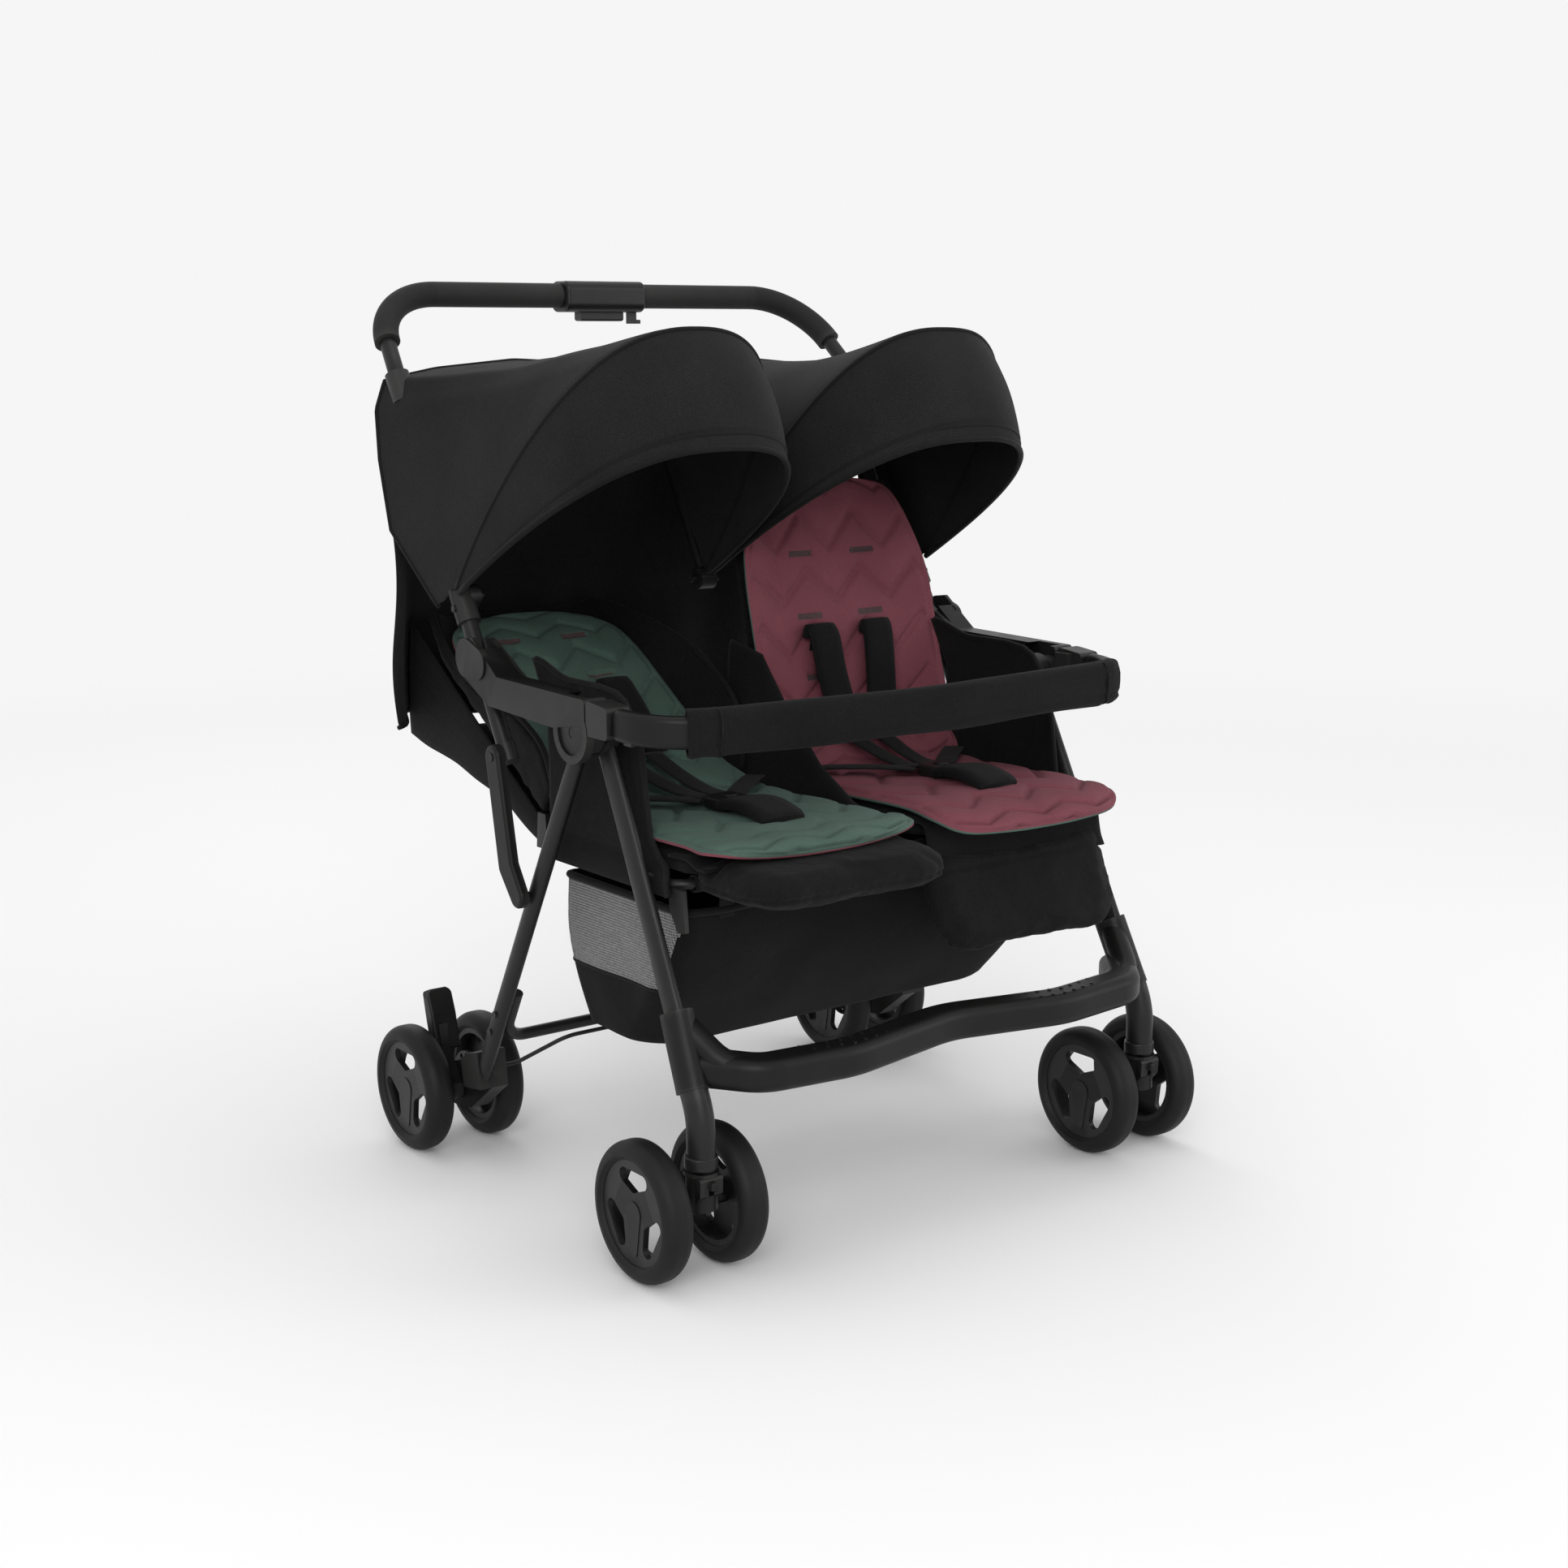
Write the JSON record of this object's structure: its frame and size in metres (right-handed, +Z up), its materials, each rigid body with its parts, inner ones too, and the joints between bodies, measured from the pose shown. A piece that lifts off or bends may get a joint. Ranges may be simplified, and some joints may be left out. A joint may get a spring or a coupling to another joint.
{
  "type": "twin stroller",
  "caption": "Side-by-side twin stroller with folding tube frame, swivel front wheels, reclining seats, canopies, bumper bar and basket.",
  "frame": {"origin": "centre of the footprint, at floor level", "axes": "+X towards the pusher's left, +Y to the rear, +Z up"},
  "size_m": [0.759, 0.7462, 1.022],
  "materials": {
    "frame_tube": "satin black powder coat",
    "moulded": "fine-grained black plastic",
    "grip_foam": "matt foam",
    "tyre": "smooth matt",
    "rim": "satin black",
    "steel": "plain steel",
    "black_fabric": "woven black polyester",
    "green_fabric": "quilted jersey, dusky green over red",
    "red_fabric": "quilted jersey, dusky red over green",
    "mesh_fabric": "black cloth with mesh sides",
    "cable": "black sheath"
  },
  "bodies": {
    "front_frame": {"front_legs": "frame_tube", "hub_brackets": "moulded", "front_crossbar": "moulded", "seat_frame": "frame_tube", "seats": "black_fabric", "seat_liner_right": "green_fabric", "seat_liner_left": "red_fabric", "buckles": "moulded", "basket": "mesh_fabric"},
    "rear_frame": {"rear_legs": "frame_tube", "rear_crossbar": "frame_tube", "rear_housings": "moulded", "rear_axles": "steel", "brake_cable": "cable"},
    "armrest_pair": {"armrests": "moulded"},
    "push_bar": {"push_tube": "frame_tube", "handle_grips": "grip_foam", "handle_housing": "moulded", "handle_brace": "moulded", "canopy_mounts": "moulded", "canopy_rear": "black_fabric"},
    "lock_cover_pair": {"lock_covers": "moulded"},
    "trigger": {"fold_trigger": "moulded"},
    "bumper": {"bumper_bar": "moulded", "bumper_cover": "black_fabric"},
    "pedal": {"brake_pedal": "moulded"},
    "caster_right": {"caster_fork_right": "moulded"},
    "swivel_lock_right": {"swivel_lock_right": "moulded"},
    "brake_pin_right": {"brake_pin_right": "steel"},
    "bumper_button_right": {"bumper_button_right": "moulded"},
    "canopy_right": {"canopy_front_right": "black_fabric"},
    "backrest_right": {"backrest_right": "black_fabric", "back_liner_right": "green_fabric", "harness_right": "black_fabric"},
    "calf_rest_right": {"calf_rest_right": "black_fabric"},
    "wheel_front_right_inner": {"tyre_front_right_inner": "tyre", "rim_front_right_inner": "rim"},
    "wheel_front_right_outer": {"tyre_front_right_outer": "tyre", "rim_front_right_outer": "rim"},
    "wheel_rear_right_inner": {"tyre_rear_right_inner": "tyre", "rim_rear_right_inner": "rim"},
    "wheel_rear_right_outer": {"tyre_rear_right_outer": "tyre", "rim_rear_right_outer": "rim"},
    "caster_left": {"caster_fork_left": "moulded"},
    "swivel_lock_left": {"swivel_lock_left": "moulded"},
    "brake_pin_left": {"brake_pin_left": "steel"},
    "bumper_button_left": {"bumper_button_left": "moulded"},
    "canopy_left": {"canopy_front_left": "black_fabric"},
    "backrest_left": {"backrest_left": "black_fabric", "back_liner_left": "red_fabric", "harness_left": "black_fabric"},
    "calf_rest_left": {"calf_rest_left": "black_fabric"},
    "wheel_front_left_inner": {"tyre_front_left_inner": "tyre", "rim_front_left_inner": "rim"},
    "wheel_front_left_outer": {"tyre_front_left_outer": "tyre", "rim_front_left_outer": "rim"},
    "wheel_rear_left_inner": {"tyre_rear_left_inner": "tyre", "rim_rear_left_inner": "rim"},
    "wheel_rear_left_outer": {"tyre_rear_left_outer": "tyre", "rim_rear_left_outer": "rim"}
  },
  "joints": [
    {"name": "fold", "type": "hinge", "parent": "front_frame", "child": "rear_frame", "pos_m": [0, -0.1313, 0.549], "axis": [-1, 0, 0], "range_deg": [0, 37], "deforming": ["canopy_rear", "canopy_front_right", "canopy_front_left"]},
    {"name": "armrest_fold", "type": "hinge", "parent": "front_frame", "child": "armrest_pair", "pos_m": [0, -0.1313, 0.549], "axis": [-1, 0, 0], "range_deg": [0, 53.63]},
    {"name": "push_bar_fold", "type": "hinge", "parent": "armrest_pair", "child": "push_bar", "pos_m": [0, 0.0837, 0.604], "axis": [1, 0, 0], "range_deg": [0, 57.42]},
    {"name": "lock_fold", "type": "hinge", "parent": "rear_frame", "child": "lock_cover_pair", "pos_m": [0, -0.0193, 0.352], "axis": [-1, 0, 0], "range_deg": [0, 43.76]},
    {"name": "fold_trigger_pull", "type": "slide", "parent": "push_bar", "child": "trigger", "axis": [0, 0, 1], "range_m": [0, 0.006], "stiffness_N_per_m": 400, "springref_m": -0.003},
    {"name": "bumper_pull_off", "type": "slide", "parent": "front_frame", "child": "bumper", "axis": [0, -1, 0], "range_m": [0, 0.04]},
    {"name": "brake", "type": "hinge", "parent": "rear_frame", "child": "pedal", "pos_m": [0, 0.1767, 0.075], "axis": [-1, 0, 0], "range_deg": [0, 25]},
    {"name": "caster_right_swivel", "type": "hinge", "parent": "front_frame", "child": "caster_right", "pos_m": [-0.315, -0.3183, 0.118], "axis": [0, 0, 1], "continuous": true},
    {"name": "swivel_lock_right_slide", "type": "slide", "parent": "caster_right", "child": "swivel_lock_right", "axis": [0, 0, -1], "range_m": [0, 0.006]},
    {"name": "brake_pin_right_slide", "type": "slide", "parent": "rear_frame", "child": "brake_pin_right", "axis": [1, 0, 0], "range_m": [0, 0.0062]},
    {"name": "bumper_button_right_press", "type": "slide", "parent": "bumper", "child": "bumper_button_right", "axis": [0, 0, 1], "range_m": [0, 0.002], "stiffness_N_per_m": 600, "springref_m": -0.002},
    {"name": "canopy_right_fold", "type": "hinge", "parent": "push_bar", "child": "canopy_right", "pos_m": [0, 0.1187, 0.668], "axis": [-1, 0, 0], "range_deg": [0, 50]},
    {"name": "recline_right", "type": "hinge", "parent": "front_frame", "child": "backrest_right", "pos_m": [0, 0.0187, 0.42], "axis": [1, 0, 0], "range_deg": [0, 46]},
    {"name": "calf_rest_right_tilt", "type": "hinge", "parent": "front_frame", "child": "calf_rest_right", "pos_m": [0, -0.2433, 0.398], "axis": [-1, 0, 0], "range_deg": [-61, 0]},
    {"name": "wheel_front_right_inner_spin", "type": "hinge", "parent": "caster_right", "child": "wheel_front_right_inner", "pos_m": [-0.268, -0.2813, 0.075], "axis": [1, 0, 0], "continuous": true},
    {"name": "wheel_front_right_outer_spin", "type": "hinge", "parent": "caster_right", "child": "wheel_front_right_outer", "pos_m": [-0.362, -0.2813, 0.075], "axis": [1, 0, 0], "continuous": true},
    {"name": "wheel_rear_right_inner_spin", "type": "hinge", "parent": "rear_frame", "child": "wheel_rear_right_inner", "pos_m": [-0.268, 0.2137, 0.075], "axis": [1, 0, 0], "continuous": true},
    {"name": "wheel_rear_right_outer_spin", "type": "hinge", "parent": "rear_frame", "child": "wheel_rear_right_outer", "pos_m": [-0.362, 0.2137, 0.075], "axis": [1, 0, 0], "continuous": true},
    {"name": "caster_left_swivel", "type": "hinge", "parent": "front_frame", "child": "caster_left", "pos_m": [0.315, -0.3183, 0.118], "axis": [0, 0, 1], "continuous": true},
    {"name": "swivel_lock_left_slide", "type": "slide", "parent": "caster_left", "child": "swivel_lock_left", "axis": [0, 0, -1], "range_m": [0, 0.006]},
    {"name": "brake_pin_left_slide", "type": "slide", "parent": "rear_frame", "child": "brake_pin_left", "axis": [-1, 0, 0], "range_m": [0, 0.0062]},
    {"name": "bumper_button_left_press", "type": "slide", "parent": "bumper", "child": "bumper_button_left", "axis": [0, 0, 1], "range_m": [0, 0.002], "stiffness_N_per_m": 600, "springref_m": -0.002},
    {"name": "canopy_left_fold", "type": "hinge", "parent": "push_bar", "child": "canopy_left", "pos_m": [0, 0.1187, 0.668], "axis": [-1, 0, 0], "range_deg": [0, 50]},
    {"name": "recline_left", "type": "hinge", "parent": "front_frame", "child": "backrest_left", "pos_m": [0, 0.0187, 0.42], "axis": [1, 0, 0], "range_deg": [-46, 0]},
    {"name": "calf_rest_left_tilt", "type": "hinge", "parent": "front_frame", "child": "calf_rest_left", "pos_m": [0, -0.2433, 0.398], "axis": [-1, 0, 0], "range_deg": [0, 61]},
    {"name": "wheel_front_left_inner_spin", "type": "hinge", "parent": "caster_left", "child": "wheel_front_left_inner", "pos_m": [0.268, -0.2813, 0.075], "axis": [1, 0, 0], "continuous": true},
    {"name": "wheel_front_left_outer_spin", "type": "hinge", "parent": "caster_left", "child": "wheel_front_left_outer", "pos_m": [0.362, -0.2813, 0.075], "axis": [1, 0, 0], "continuous": true},
    {"name": "wheel_rear_left_inner_spin", "type": "hinge", "parent": "rear_frame", "child": "wheel_rear_left_inner", "pos_m": [0.268, 0.2137, 0.075], "axis": [1, 0, 0], "continuous": true},
    {"name": "wheel_rear_left_outer_spin", "type": "hinge", "parent": "rear_frame", "child": "wheel_rear_left_outer", "pos_m": [0.362, 0.2137, 0.075], "axis": [1, 0, 0], "continuous": true}
  ],
  "couplings": [
    {"joint": "armrest_fold", "follows": "fold", "ratio": 1.4359},
    {"joint": "push_bar_fold", "follows": "fold", "ratio": 1.5384},
    {"joint": "lock_fold", "follows": "fold", "ratio": 1.1692},
    {"joint": "brake_pin_right_slide", "follows": "brake", "m_per_rad": 0.013751},
    {"joint": "brake_pin_left_slide", "follows": "brake", "m_per_rad": 0.013751}
  ]
}
